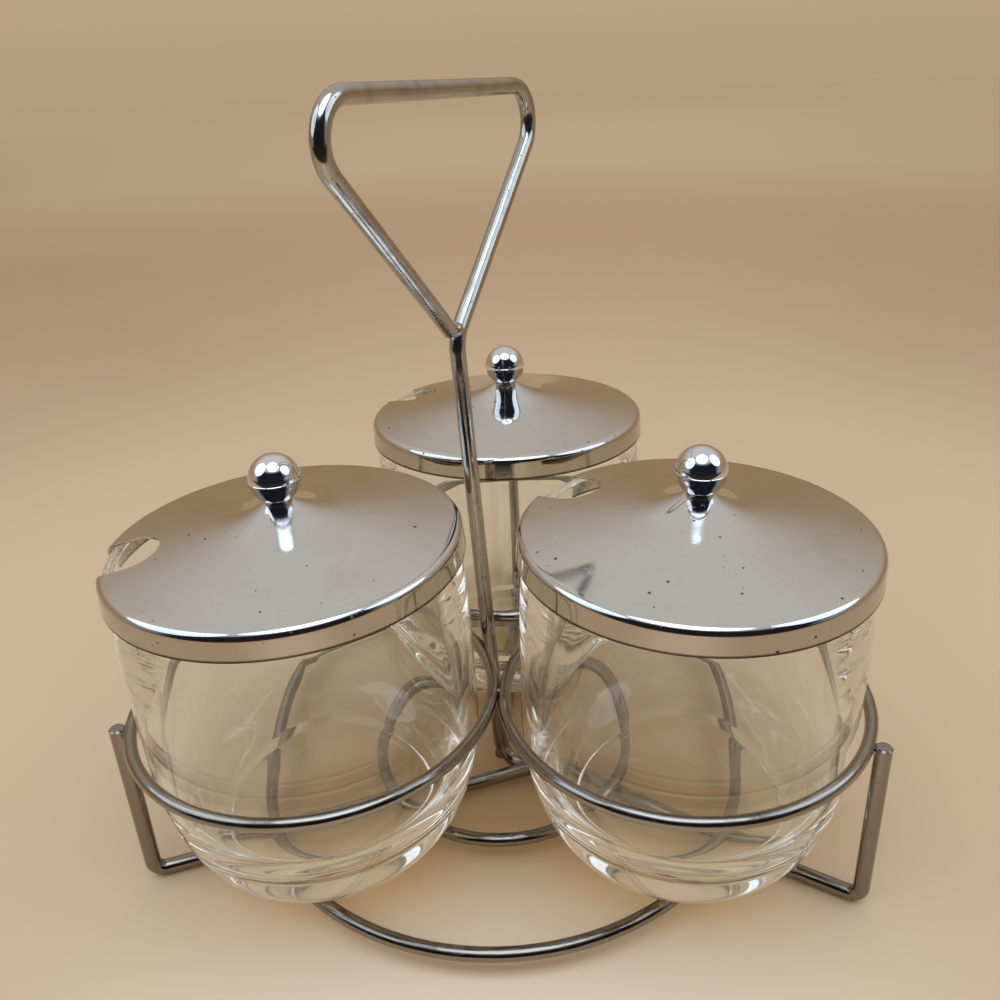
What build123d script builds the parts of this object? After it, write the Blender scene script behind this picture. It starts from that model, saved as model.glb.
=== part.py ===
from build123d import *
import os
from math import asin, atan2, cos, degrees, hypot, radians, sin, sqrt, tan

# Condiment caddy: a welded wire rack with a loop handle, three glass jars and three lift-off lids.
# Millimetres. The table is z = 0, and the jars stand evenly round the origin.
# The handle's stem stands near the origin, and the back jar lies towards +Y.

# Wires of the rack
handle_wire_diameter = 4.3
base_wire_diameter = 3.8
jar_ring_wire_diameter = 3.4
ring_weld_sink = 0.15
base_weld_sink = 0.2

# Layout of the jars round the stem
jar_circle_radius = 57.45
jar_angles = {"left": 210, "right": 330, "back": 90}

# Rings of the rack: the two base rings share a centre a little to the left
jar_ring_height = 52.4
base_ring_radius = 73.6
center_ring_radius = 37.0
base_rings_centre = (-1.7, -0.3)

# Struts and legs: each strut stands beside its jar ring, turned a little from the ring's outermost point.
# The legs rise gently from the struts to the hub, so the jars on the base rings lean outwards as much.
leg_angle = 1.15
strut_turns = {"left": -14.2, "right": 3.3, "back": 1.8}
strut_overshoot = 0.2
strut_bend_radius = 3.4
strut_weld_radius = 1.4
strut_weld_depth = 1.5
left_leg_reach = 11.0
back_leg_end = (-2.95, 1.0)
leg_end_setback = 1.2

# Stem and hand loop
stem_foot_x = -2.7
stem_foot_y = 1.0
stem_foot_bend_radius = 8.0
stem_top_x = -8.4
stem_top_y = -0.7
stem_top_height = 143.5
stem_top_bend_radius = 9.0
loop_angle = 66.2
loop_half_width = 60.0
loop_near_height = 59.6
loop_far_height = 58.4
loop_corner_radius = 9.0
loop_end_setback = 3.2
loop_weld_radius = 2.1

# Glass jars: heights are measured along the jar's axis from its foot
jar_seat_gap = 0.3
jar_height = 91.75
jar_radius = 44.4
jar_wall = 3.7
jar_rim_radius = 43.4
jar_rim_height = 6.4
jar_shoulder_height = 1.2
jar_floor_thickness = 8.5
jar_floor_radius = 21.0
jar_inner_bowl_height = 30.0
jar_bowl_height = 40.0
jar_bowl_flat_radius = 27.9
jar_foot_radius = 31.5
jar_foot_height = 3.2
jar_foot_round = 2.6
jar_recess_radius = 21.0
jar_recess_depth = 1.4

# Lids
lid_seat_gap = 0.3
lid_sheet = 0.5
lid_radius = 44.5
lid_band_height = 5.85
lid_band_flare = 0.4
lid_shoulder_round = 1.4
lid_rise = 10.9
lid_top_flat_radius = 4.2
notch_angles = {"left": 194.5, "right": 144.5, "back": 153.5}
notch_width = 15.3
notch_depth = 14.8
notch_mouth_round = 2.0

# Knobs and their screws
knob_radius = 6.35
knob_foot_radius = 3.0
knob_seam_width = 0.5
knob_seam_height = 0.12
screw_shank_radius = 1.7
screw_shank_length = 7.5
screw_bore_clearance = 0.05
screw_bore_spare = 0.6
screw_hole_clearance = 0.3
screw_head_radius = 3.5
screw_head_height = 1.9
screw_head_round = 0.8

# Heights and places that follow from the sizes above
leg_slope = tan(radians(leg_angle))
foot_height = handle_wire_diameter / 2 - strut_bend_radius * leg_slope
jar_ring_radius = (jar_circle_radius * sqrt(3) - jar_ring_wire_diameter + ring_weld_sink) / 2
strut_top = jar_ring_height + strut_overshoot
strut_offset = jar_ring_radius + (jar_ring_wire_diameter + handle_wire_diameter) / 2 - ring_weld_sink
leg_reach = jar_circle_radius + strut_offset
base_weld_height = (handle_wire_diameter + base_wire_diameter) / 2 - base_weld_sink
base_ring_height = foot_height + (leg_reach - base_ring_radius) * leg_slope + base_weld_height
center_ring_height = foot_height + (leg_reach - center_ring_radius) * leg_slope + base_weld_height
base_ring_top = base_ring_height + base_wire_diameter / 2
jar_foot_level = base_ring_top + (base_ring_radius - jar_circle_radius) * leg_slope + jar_seat_gap


def toward(angle, distance, start=(0, 0)):
    # The point at this distance and compass angle, in degrees from +X, from a start in plan
    return (start[0] + distance * cos(radians(angle)), start[1] + distance * sin(radians(angle)))


def jar_centre(side):
    return toward(jar_angles[side], jar_circle_radius)


def strut_place(side):
    return toward(jar_angles[side] + strut_turns[side], strut_offset, jar_centre(side))


def jar_frame(side):
    # Plane on a jar's foot: x runs outwards, and z runs up the jar's leaning axis
    outwards = toward(jar_angles[side], 1)
    lean = radians(leg_angle)
    x_dir = (outwards[0] * cos(lean), outwards[1] * cos(lean), -sin(lean))
    z_dir = (outwards[0] * sin(lean), outwards[1] * sin(lean), cos(lean))
    return Plane(origin=(*jar_centre(side), jar_foot_level), x_dir=x_dir, z_dir=z_dir)


def section_plane(side):
    # Plane through a jar's axis: its x runs outwards from the axis, and its y runs up the axis
    frame = jar_frame(side)
    return Plane(origin=frame.origin, x_dir=frame.x_dir, z_dir=-frame.y_dir)


def jar_axis(side):
    frame = jar_frame(side)
    return Axis(origin=frame.origin, direction=frame.z_dir)


def bent_wire(points, bend_radii):
    # A round rod along straight runs, with one bend at each inner point
    with BuildPart() as wire:
        with BuildLine() as route:
            FilletPolyline(*points, radius=bend_radii)
        with BuildSketch(Plane(origin=route.line @ 0, z_dir=route.line % 0)):
            Circle(handle_wire_diameter / 2)
        sweep()
    return wire


def wire_ring(centre, height, radius, wire_diameter):
    with BuildPart(Plane(origin=(*centre, height))) as ring:
        Torus(radius, wire_diameter / 2)
    return ring


def weld_bead(place, radius):
    with BuildPart(Plane(origin=place)) as bead:
        Sphere(radius)
    return bead


def strut_weld(side):
    # Bead between a strut and the outer side of its jar ring, just under the strut's top
    ring_side = toward(jar_angles[side] + strut_turns[side], strut_offset - handle_wire_diameter / 2, jar_centre(side))
    return weld_bead((*ring_side, strut_top - strut_weld_depth), strut_weld_radius)


# Rings
jar_rings = {}
for side in jar_angles:
    jar_rings[side] = wire_ring(jar_centre(side), jar_ring_height, jar_ring_radius, jar_ring_wire_diameter)
base_ring = wire_ring(base_rings_centre, base_ring_height, base_ring_radius, base_wire_diameter)
center_ring = wire_ring(base_rings_centre, center_ring_height, center_ring_radius, base_wire_diameter)

# Handle wire: hand loop, stem, right leg and right strut in one rod
right_foot = strut_place("right")
right_leg_run = hypot(right_foot[0] - stem_foot_x, right_foot[1] - stem_foot_y)
stem_foot = (stem_foot_x, stem_foot_y, foot_height + right_leg_run * leg_slope)
stem_top = (stem_top_x, stem_top_y, stem_top_height)


def on_loop(across, up):
    # A point in the plane of the hand loop, measured from the top of the stem
    return (*toward(loop_angle, across, (stem_top_x, stem_top_y)), stem_top_height + up)


loop_near_corner = on_loop(-loop_half_width, loop_near_height)
loop_far_corner = on_loop(loop_half_width, loop_far_height)
loop_side_length = hypot(loop_half_width, loop_near_height)
loop_end_share = loop_end_setback / loop_side_length
loop_cut_end = on_loop(-loop_half_width * loop_end_share, loop_near_height * loop_end_share)
loop_side_middle = on_loop(-loop_half_width / 2, loop_near_height / 2)
handle_points = [
    loop_side_middle,
    loop_near_corner,
    loop_far_corner,
    stem_top,
    stem_foot,
    (*right_foot, foot_height),
    (*right_foot, strut_top),
]
handle_bends = [
    loop_corner_radius,
    loop_corner_radius,
    stem_top_bend_radius,
    stem_foot_bend_radius,
    strut_bend_radius,
]
with BuildPart() as handle_wire:
    add(bent_wire(handle_points, handle_bends).part)
    with BuildLine() as loop_end:
        Line(loop_cut_end, loop_side_middle)
    with BuildSketch(Plane(origin=loop_cut_end, z_dir=loop_end.line % 0)):
        Circle(handle_wire_diameter / 2)
    sweep()
    add(weld_bead(on_loop(0, handle_wire_diameter / 2), loop_weld_radius).part)
    add(strut_weld("right").part)
    add(jar_rings["right"].part, mode=Mode.SUBTRACT)

# Left and back legs: the left one is coped onto the side of the right leg, the back one onto the stem's bend
right_leg_angle = degrees(atan2(right_foot[1] - stem_foot_y, right_foot[0] - stem_foot_x))
left_leg_end = toward(right_leg_angle, left_leg_reach, (stem_foot_x, stem_foot_y))


def leg(side, goal):
    foot = strut_place(side)
    run = hypot(goal[0] - foot[0], goal[1] - foot[1]) - leg_end_setback
    run_angle = degrees(atan2(goal[1] - foot[1], goal[0] - foot[0]))
    inner_end = (*toward(run_angle, run, foot), foot_height + run * leg_slope)
    with BuildPart() as bent_leg:
        add(bent_wire([(*foot, strut_top), (*foot, foot_height), inner_end], [strut_bend_radius]).part)
        add(strut_weld(side).part)
        add(jar_rings[side].part, mode=Mode.SUBTRACT)
        add(handle_wire.part, mode=Mode.SUBTRACT)
    return bent_leg


leg_left = leg("left", left_leg_end)
leg_back = leg("back", back_leg_end)

# Jars
jar_inner_radius = jar_radius - jar_wall
jar_lip_radius = (jar_rim_radius - jar_inner_radius) / 2
jar_bowl_width = jar_radius - jar_bowl_flat_radius
jar_bowl_start = degrees(asin(jar_foot_height / jar_bowl_height - 1))
jar_rim_foot = jar_height - jar_rim_height
jar_lip_base = jar_height - jar_lip_radius


def jar(side):
    with BuildPart() as glass:
        with BuildSketch(section_plane(side)):
            with BuildLine():
                recess = Polyline(
                    (0, jar_recess_depth),
                    (jar_recess_radius, jar_recess_depth),
                    (jar_recess_radius + jar_recess_depth, 0),
                    (jar_foot_radius - jar_foot_round, 0),
                )
                foot_round = JernArc(recess @ 1, (1, 0), jar_foot_round, 90)
                bowl = EllipticalCenterArc(
                    (jar_bowl_flat_radius, jar_bowl_height),
                    jar_bowl_width,
                    jar_bowl_height,
                    start_angle=jar_bowl_start,
                    arc_size=-jar_bowl_start,
                )
                Polyline(foot_round @ 1, (jar_foot_radius, jar_foot_height), bowl @ 0)
                Polyline(
                    bowl @ 1,
                    (jar_radius, jar_rim_foot - jar_shoulder_height),
                    (jar_rim_radius, jar_rim_foot),
                    (jar_rim_radius, jar_lip_base),
                )
                JernArc((jar_rim_radius, jar_lip_base), (0, 1), jar_lip_radius, 180)
                inner_bowl = EllipticalCenterArc(
                    (jar_floor_radius, jar_floor_thickness + jar_inner_bowl_height),
                    jar_inner_radius - jar_floor_radius,
                    jar_inner_bowl_height,
                    start_angle=-90,
                    arc_size=90,
                )
                Line((jar_inner_radius, jar_lip_base), inner_bowl @ 1)
                Polyline(inner_bowl @ 0, (0, jar_floor_thickness), (0, jar_recess_depth))
            make_face()
        revolve(axis=jar_axis(side))
    return glass


# Lids: the sheet's inner face rests on the jar's lip, one gap above it
lid_slope = atan2(lid_rise, lid_radius - lid_top_flat_radius)
lip_circle_radius = jar_inner_radius + jar_lip_radius
lid_drop = (lid_sheet + lid_seat_gap + jar_lip_radius) / cos(lid_slope) - jar_lip_radius
lid_edge = jar_height + lid_drop - (lid_radius - lip_circle_radius) * tan(lid_slope)
lid_top = lid_edge + lid_rise
lid_underside = lid_top - lid_sheet
lid_band_bottom = lid_edge - lid_band_height
notch_inner_radius = lid_radius - notch_depth


def lid_section(inset):
    # Half outline of the lid down to the band's lower edge, moved inwards by the inset
    lowered = inset / cos(lid_slope)
    flat_radius = lid_top_flat_radius - (lowered - inset) / tan(lid_slope)
    corner = (lid_radius - inset, lid_edge - lowered + inset * tan(lid_slope))
    with BuildSketch(mode=Mode.PRIVATE) as section:
        with BuildLine():
            Polyline(
                (0, lid_band_bottom),
                (lid_radius + lid_band_flare - inset, lid_band_bottom),
                corner,
                (flat_radius, lid_top - inset),
                (0, lid_top - inset),
                close=True,
            )
        make_face()
        fillet(section.vertices().sort_by_distance((*corner, 0))[0], lid_shoulder_round - inset)
    return section.sketch


def notch_outline():
    # U-shaped slot for a spoon, open at the rim, with rounded corners at its mouth
    mouth = lid_radius + lid_band_flare
    slot_end = notch_inner_radius + notch_width / 2
    with BuildSketch(mode=Mode.PRIVATE) as outline:
        with Locations((slot_end, 0)):
            Circle(notch_width / 2)
        with Locations((slot_end, 0)):
            Rectangle(mouth - slot_end, notch_width, align=(Align.MIN, Align.CENTER))
        with Locations((mouth - notch_mouth_round, 0)):
            Rectangle(2 * notch_mouth_round, notch_width + 2 * notch_mouth_round, align=(Align.MIN, Align.CENTER))
        with GridLocations(2 * (mouth - notch_mouth_round), notch_width + 2 * notch_mouth_round, 2, 2):
            Circle(notch_mouth_round, mode=Mode.SUBTRACT)
    return outline.sketch


def lid(side):
    start_height = lid_band_bottom - lid_sheet
    notch_turn = notch_angles[side] - jar_angles[side]
    notch_plane = Plane(jar_frame(side).location * Location((0, 0, start_height), (0, 0, notch_turn)))
    with BuildPart() as cover:
        with BuildSketch(section_plane(side)):
            add(lid_section(0))
        revolve(axis=jar_axis(side))
        with BuildSketch(section_plane(side)):
            add(lid_section(lid_sheet))
        revolve(axis=jar_axis(side), mode=Mode.SUBTRACT)
        with BuildSketch(notch_plane):
            add(notch_outline())
            Circle(screw_shank_radius + screw_hole_clearance)
        extrude(amount=lid_top + lid_sheet - start_height, mode=Mode.SUBTRACT)
    return cover


# Knobs: each ball stands on the flat of its lid, and its screw comes up from below
knob_centre = lid_top + sqrt(knob_radius**2 - knob_foot_radius**2)
screw_tip = lid_underside + screw_shank_length
screw_bore_top = screw_tip + screw_bore_spare


def knob(side):
    seam_radius = knob_radius + knob_seam_height
    with BuildPart() as ball:
        with BuildSketch(section_plane(side)):
            with Locations((0, knob_centre)):
                Circle(knob_radius)
                Rectangle(2 * seam_radius, knob_seam_width)
            with Locations((0, lid_top)):
                Rectangle(seam_radius, 2 * seam_radius, align=(Align.MIN, Align.MIN), mode=Mode.INTERSECT)
                Rectangle(
                    2 * (screw_shank_radius + screw_bore_clearance),
                    2 * (screw_bore_top - lid_top),
                    mode=Mode.SUBTRACT,
                )
        revolve(axis=jar_axis(side))
    return ball


def knob_screw(side):
    with BuildPart() as screw:
        with BuildSketch(section_plane(side)) as section:
            with Locations((0, lid_underside - screw_head_height)):
                Rectangle(screw_head_radius, screw_head_height, align=(Align.MIN, Align.MIN))
                Rectangle(
                    screw_shank_radius,
                    screw_head_height + screw_shank_length,
                    align=(Align.MIN, Align.MIN),
                )
            fillet(section.vertices().group_by(Axis.Y)[0].sort_by(Axis.X)[-1], screw_head_round)
        revolve(axis=jar_axis(side))
    return screw


# Every piece by name
pieces = {
    "handle_wire": handle_wire,
    "leg_left": leg_left,
    "leg_back": leg_back,
    "base_ring": base_ring,
    "center_ring": center_ring,
}
for side in jar_angles:
    pieces[f"jar_ring_{side}"] = jar_rings[side]
    pieces[f"jar_{side}"] = jar(side)
    pieces[f"lid_{side}"] = lid(side)
    pieces[f"knob_{side}"] = knob(side)
    pieces[f"knob_screw_{side}"] = knob_screw(side)

os.makedirs("parts", exist_ok=True)
for name, piece in pieces.items():
    piece.part.label = name
    export_step(piece.part, f"parts/{name}.step")
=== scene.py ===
from math import acos, asin, atan2, cos, hypot, pi, radians, sin, sqrt, tan

import bpy
from mathutils import Matrix, Vector


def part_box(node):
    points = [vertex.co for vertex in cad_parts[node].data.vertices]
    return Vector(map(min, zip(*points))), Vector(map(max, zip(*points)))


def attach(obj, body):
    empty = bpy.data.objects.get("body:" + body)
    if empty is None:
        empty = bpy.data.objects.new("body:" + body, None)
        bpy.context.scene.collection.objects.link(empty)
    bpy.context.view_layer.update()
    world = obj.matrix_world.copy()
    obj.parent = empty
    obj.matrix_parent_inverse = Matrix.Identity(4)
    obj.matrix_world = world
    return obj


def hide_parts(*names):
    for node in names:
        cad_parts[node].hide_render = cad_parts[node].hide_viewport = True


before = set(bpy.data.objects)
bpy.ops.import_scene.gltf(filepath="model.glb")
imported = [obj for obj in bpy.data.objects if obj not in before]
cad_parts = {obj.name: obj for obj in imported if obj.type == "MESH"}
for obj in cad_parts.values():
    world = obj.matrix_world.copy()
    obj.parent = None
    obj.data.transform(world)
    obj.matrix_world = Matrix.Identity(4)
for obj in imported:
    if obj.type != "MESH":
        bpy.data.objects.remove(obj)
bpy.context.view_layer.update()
mm = 0.001
print("frame loaded with", len(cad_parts), "nodes")

# Where things stand: the jars lean outwards by as much as the legs rise to the hub
layout = {
    "jarCircle": 57.45 * mm,
    "jarAngles": {"left": radians(210), "right": radians(330), "back": radians(90)},
    "strutTurns": {"left": radians(-14.2), "right": radians(3.3), "back": radians(1.8)},
    "lean": radians(1.15),
    "seatGap": 0.3 * mm,
    "weldSink": 0.15 * mm,
}
sides = list(layout["jarAngles"])


def addNode(tree, kind, inputs=None, **settings):
    node = tree.nodes.new(kind)
    for name, value in settings.items():
        setattr(node, name, value)
    for key, value in (inputs or {}).items():
        if isinstance(value, bpy.types.NodeSocket):
            tree.links.new(value, node.inputs[key])
        else:
            node.inputs[key].default_value = value
    return node


def mathNode(tree, operation, *values):
    return addNode(tree, "ShaderNodeMath", dict(enumerate(values)), operation=operation).outputs[0]


def fadeNode(tree, value, low, high, start=0.0, end=1.0):
    # Runs smoothly from start to end while the value goes from low to high
    inputs = {"Value": value, "From Min": low, "From Max": high, "To Min": start, "To Max": end}
    return addNode(tree, "ShaderNodeMapRange", inputs, interpolation_type="SMOOTHSTEP").outputs[0]


def mixNode(tree, factor, *colours):
    # Inputs 6 and 7 and output 2 are the colour ones; a plain colour gets its alpha here
    first, second = (c if isinstance(c, bpy.types.NodeSocket) else (*c, 1) for c in colours)
    return addNode(tree, "ShaderNodeMix", {0: factor, 6: first, 7: second}, data_type="RGBA").outputs[2]


def noiseNode(tree, vector, scale, detail=2.0, roughness=0.5, distortion=0.0):
    inputs = {"Vector": vector, "Scale": scale, "Detail": detail, "Roughness": roughness, "Distortion": distortion}
    return addNode(tree, "ShaderNodeTexNoise", inputs).outputs["Fac"]


def startGroup(name, kind, inputs, outputs):
    # inputs: name to (socket type, default); outputs: name to socket type
    tree = bpy.data.node_groups.new(name, kind)
    for socketName, (socketType, default) in inputs.items():
        socket = tree.interface.new_socket(socketName, in_out="INPUT", socket_type=socketType)
        if default is not None:
            socket.default_value = default
    for socketName, socketType in outputs.items():
        tree.interface.new_socket(socketName, in_out="OUTPUT", socket_type=socketType)
    return tree, tree.nodes.new("NodeGroupInput").outputs, tree.nodes.new("NodeGroupOutput").inputs


# Wear on plated metal: rust specks in patches, hair scratches and smudges
wearPattern = {
    "raggedScale": 2400.0,
    "raggedShare": 0.09,
    "speckSpread": 0.11,
    "speckSoftness": 0.06,
    "patchScale": 55.0,
    "patchRange": (0.38, 0.62),
    "patchChance": (0.15, 1.7),
    "bendScale": 60.0,
    "bendAmount": 0.05,
    "hairWidth": (0.004, 0.013),
    "breakScale": 160.0,
    "breakRange": (0.52, 0.66),
    "smudgeDetail": 4.0,
    "smudgeRoughness": 0.6,
    "smudgeDistortion": 0.4,
}


def makePlatingWear():
    inputs = {
        "Vector": ("NodeSocketVector", None),
        "Speck Scale": ("NodeSocketFloat", 250.0),
        "Speck Amount": ("NodeSocketFloat", 0.2),
        "Scratch Scale": ("NodeSocketFloat", 45.0),
        "Scratch Amount": ("NodeSocketFloat", 0.3),
        "Smudge Scale": ("NodeSocketFloat", 40.0),
    }
    outputs = {name: "NodeSocketFloat" for name in ("Specks", "Scratches", "Smudges", "Height")}
    tree, given, result = startGroup("platingWear", "ShaderNodeTree", inputs, outputs)
    vector = given["Vector"]
    cells = addNode(tree, "ShaderNodeTexVoronoi", {"Vector": vector, "Scale": given["Speck Scale"]})
    dice = addNode(tree, "ShaderNodeSeparateColor", {0: cells.outputs["Color"]}).outputs
    grain = noiseNode(tree, vector, wearPattern["raggedScale"])
    ragged = mathNode(tree, "MULTIPLY", grain, wearPattern["raggedShare"])
    speckRadius = mathNode(tree, "ADD", mathNode(tree, "MULTIPLY", dice[1], wearPattern["speckSpread"]), ragged)
    speckEdge = mathNode(tree, "SUBTRACT", speckRadius, cells.outputs["Distance"])
    spot = fadeNode(tree, speckEdge, 0.0, wearPattern["speckSoftness"])
    patches = noiseNode(tree, vector, wearPattern["patchScale"])
    share = fadeNode(tree, patches, *wearPattern["patchRange"], *wearPattern["patchChance"])
    chance = mathNode(tree, "MULTIPLY", given["Speck Amount"], share)
    specks = mathNode(tree, "MULTIPLY", spot, mathNode(tree, "LESS_THAN", dice[0], chance))
    noise = {"Vector": vector, "Scale": wearPattern["bendScale"], "Detail": 2.0}
    bend = {0: addNode(tree, "ShaderNodeTexNoise", noise).outputs["Color"], 1: (wearPattern["bendAmount"],) * 3}
    warp = addNode(tree, "ShaderNodeVectorMath", bend, operation="MULTIPLY").outputs[0]
    bentVector = addNode(tree, "ShaderNodeVectorMath", {0: vector, 1: warp}, operation="ADD").outputs[0]
    edges = {"Vector": bentVector, "Scale": given["Scratch Scale"]}
    hair = addNode(tree, "ShaderNodeTexVoronoi", edges, feature="DISTANCE_TO_EDGE").outputs["Distance"]
    line = fadeNode(tree, hair, *wearPattern["hairWidth"], 1.0, 0.0)
    broken = fadeNode(tree, noiseNode(tree, vector, wearPattern["breakScale"], 3.0), *wearPattern["breakRange"])
    scratches = mathNode(tree, "MULTIPLY", mathNode(tree, "MULTIPLY", line, broken), given["Scratch Amount"])
    smudgeForm = (wearPattern[key] for key in ("smudgeDetail", "smudgeRoughness", "smudgeDistortion"))
    smudges = noiseNode(tree, vector, given["Smudge Scale"], *smudgeForm)
    dents = mathNode(tree, "MULTIPLY", mathNode(tree, "ADD", specks, scratches), -1.0)
    for name, socket in (("Specks", specks), ("Scratches", scratches), ("Smudges", smudges), ("Height", dents)):
        tree.links.new(socket, result[name])
    return tree


# Slow waves of a bent or blown surface
def makeSurfaceRipple():
    inputs = {
        "Vector": ("NodeSocketVector", None),
        "Scale": ("NodeSocketFloat", 60.0),
        "Fine Scale": ("NodeSocketFloat", 600.0),
        "Fine Share": ("NodeSocketFloat", 0.05),
    }
    tree, given, result = startGroup("surfaceRipple", "ShaderNodeTree", inputs, {"Height": "NodeSocketFloat"})
    slow = noiseNode(tree, given["Vector"], given["Scale"], 1.0)
    fine = mathNode(tree, "MULTIPLY", noiseNode(tree, given["Vector"], given["Fine Scale"]), given["Fine Share"])
    tree.links.new(mathNode(tree, "ADD", slow, fine), result["Height"])
    return tree


platingWear = makePlatingWear()
surfaceRipple = makeSurfaceRipple()


def startMaterial(name, colour, metallic, roughness):
    material = bpy.data.materials.new(name)
    material.use_nodes = True
    tree = material.node_tree
    shader = tree.nodes["Principled BSDF"]
    shader.inputs["Base Color"].default_value = (*colour, 1)
    shader.inputs["Metallic"].default_value = metallic
    shader.inputs["Roughness"].default_value = roughness
    place = addNode(tree, "ShaderNodeTexCoord").outputs["Object"]
    return material, tree, shader, place


def addGroup(tree, group, **values):
    # Names of values are the group's input names without their spaces
    node = addNode(tree, "ShaderNodeGroup", node_tree=group)
    for socket in node.inputs:
        key = socket.name.replace(" ", "")
        key = key[0].lower() + key[1:]
        if isinstance(values.get(key), bpy.types.NodeSocket):
            tree.links.new(values[key], socket)
        elif key in values:
            socket.default_value = values[key]
    return node.outputs


# Where plated metal ages: by height above the table and by its smudges; besides these, painted shade by how level a
# face is, and a painted shade line along a lid's lower edge
ageingAndPaintedShade = {
    "dullHeights": (20 * mm, 130 * mm),
    "speckHeights": (20 * mm, 160 * mm),
    "wallLevels": (0.15, 0.5),
    "dirtEdge": (0.0, 0.6),
    "dirtAmount": 0.95,
    "tarnishSmudges": (0.45, 0.75),
    "hazeSmudges": (0.3, 0.75),
    "wornRoughness": 0.45,
    "rustCover": 0.75,
}


def platedMetal(name, look):
    material, tree, shader, place = startMaterial(name, look["colour"], 1.0, look["roughness"])
    # The lower a wire is, the duller and the more pitted it has become
    height = addNode(tree, "ShaderNodeSeparateXYZ", {0: place}).outputs["Z"]
    lowTarnish = fadeNode(tree, height, *ageingAndPaintedShade["dullHeights"], look["lowTarnish"], 0.0)
    wear = addGroup(
        tree,
        platingWear,
        vector=place,
        speckScale=look["speckScale"],
        speckAmount=fadeNode(tree, height, *ageingAndPaintedShade["speckHeights"], look["lowSpecks"], look["speckAmount"]),
        scratchScale=look["scratchScale"],
        scratchAmount=look["scratchAmount"],
        smudgeScale=look["smudgeScale"],
    )
    ripple = addGroup(tree, surfaceRipple, vector=place, scale=look["rippleScale"], fineShare=look["fineShare"])
    tarnish = fadeNode(tree, wear["Smudges"], *ageingAndPaintedShade["tarnishSmudges"], 0.0, look["tarnish"])
    tarnish = mathNode(tree, "MAXIMUM", tarnish, lowTarnish)
    # Painted shade: upright walls, such as a lid's band, are coloured darker than the top, toward the tarnish colour
    normal = addNode(tree, "ShaderNodeSeparateXYZ", {0: addNode(tree, "ShaderNodeNewGeometry").outputs["Normal"]})
    level = mathNode(tree, "ABSOLUTE", normal.outputs["Z"])
    wallTarnish = fadeNode(tree, level, *ageingAndPaintedShade["wallLevels"], look["wallTarnish"], 0.0)
    plate = mixNode(tree, mathNode(tree, "MAXIMUM", tarnish, wallTarnish), look["colour"], look["tarnishColour"])
    # Painted shade: a dark line along a lid's lower edge, which the lid's mesh marks, in the colour of the rust specks
    lowerEdge = addNode(tree, "ShaderNodeAttribute", attribute_name="bandEdge").outputs["Fac"]
    edgeShade = fadeNode(tree, lowerEdge, *ageingAndPaintedShade["dirtEdge"], 0.0, ageingAndPaintedShade["dirtAmount"])
    plate = mixNode(tree, edgeShade, plate, look["speckColour"])
    scuffed = mixNode(tree, wear["Scratches"], plate, look["scratchColour"])
    tree.links.new(mixNode(tree, wear["Specks"], scuffed, look["speckColour"]), shader.inputs["Base Color"])
    hazy = look["roughness"] + look["haze"]
    haze = fadeNode(tree, wear["Smudges"], *ageingAndPaintedShade["hazeSmudges"], look["roughness"], hazy)
    worn = mathNode(tree, "ADD", wear["Specks"], wear["Scratches"])
    roughness = mathNode(tree, "ADD", haze, mathNode(tree, "MULTIPLY", worn, ageingAndPaintedShade["wornRoughness"]))
    tree.links.new(roughness, shader.inputs["Roughness"])
    rust = mathNode(tree, "MULTIPLY", wear["Specks"], ageingAndPaintedShade["rustCover"])
    tree.links.new(mathNode(tree, "SUBTRACT", 1.0, rust), shader.inputs["Metallic"])
    waves = addNode(tree, "ShaderNodeBump", {"Height": ripple["Height"], "Distance": look["rippleDepth"]})
    pits = {"Height": wear["Height"], "Distance": look["pitDepth"], "Normal": waves.outputs[0]}
    tree.links.new(addNode(tree, "ShaderNodeBump", pits).outputs[0], shader.inputs["Normal"])
    return material


rackLook = {
    "colour": (0.45, 0.425, 0.39),
    "roughness": 0.10,
    "haze": 0.14,
    "tarnish": 0.6,
    "tarnishColour": (0.23, 0.195, 0.16),
    "lowTarnish": 0.8,
    "wallTarnish": 0.0,
    "speckColour": (0.055, 0.03, 0.015),
    "scratchColour": (0.22, 0.18, 0.14),
    "speckScale": 620.0,
    "speckAmount": 0.35,
    "lowSpecks": 1.2,
    "scratchScale": 90.0,
    "scratchAmount": 0.2,
    "smudgeScale": 120.0,
    "rippleScale": 110.0,
    "rippleDepth": 0.35 * mm,
    "fineShare": 0.04,
    "pitDepth": 0.06 * mm,
}
lidLook = {
    "colour": (0.66, 0.645, 0.62),
    "roughness": 0.05,
    "haze": 0.06,
    "tarnish": 0.22,
    "tarnishColour": (0.49, 0.445, 0.39),
    "lowTarnish": 0.0,
    # Painted shade on the lid's upright band, at full strength
    "wallTarnish": 1.0,
    "speckColour": (0.07, 0.045, 0.03),
    "scratchColour": (0.34, 0.30, 0.26),
    "speckScale": 260.0,
    "speckAmount": 0.8,
    "lowSpecks": 0.8,
    "scratchScale": 110.0,
    "scratchAmount": 0.2,
    "smudgeScale": 70.0,
    "rippleScale": 32.0,
    "rippleDepth": 0.25 * mm,
    "fineShare": 0.012,
    "pitDepth": 0.03 * mm,
}
knobLook = {
    "colour": (0.78, 0.78, 0.79),
    "roughness": 0.035,
    "haze": 0.03,
    "tarnish": 0.15,
    "tarnishColour": (0.55, 0.50, 0.45),
    "lowTarnish": 0.0,
    "wallTarnish": 0.0,
    "speckColour": (0.06, 0.04, 0.03),
    "scratchColour": (0.25, 0.22, 0.20),
    "speckScale": 900.0,
    "speckAmount": 0.06,
    "lowSpecks": 0.06,
    "scratchScale": 160.0,
    "scratchAmount": 0.5,
    "smudgeScale": 300.0,
    "rippleScale": 200.0,
    "rippleDepth": 0.03 * mm,
    "fineShare": 0.02,
    "pitDepth": 0.03 * mm,
}
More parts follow.
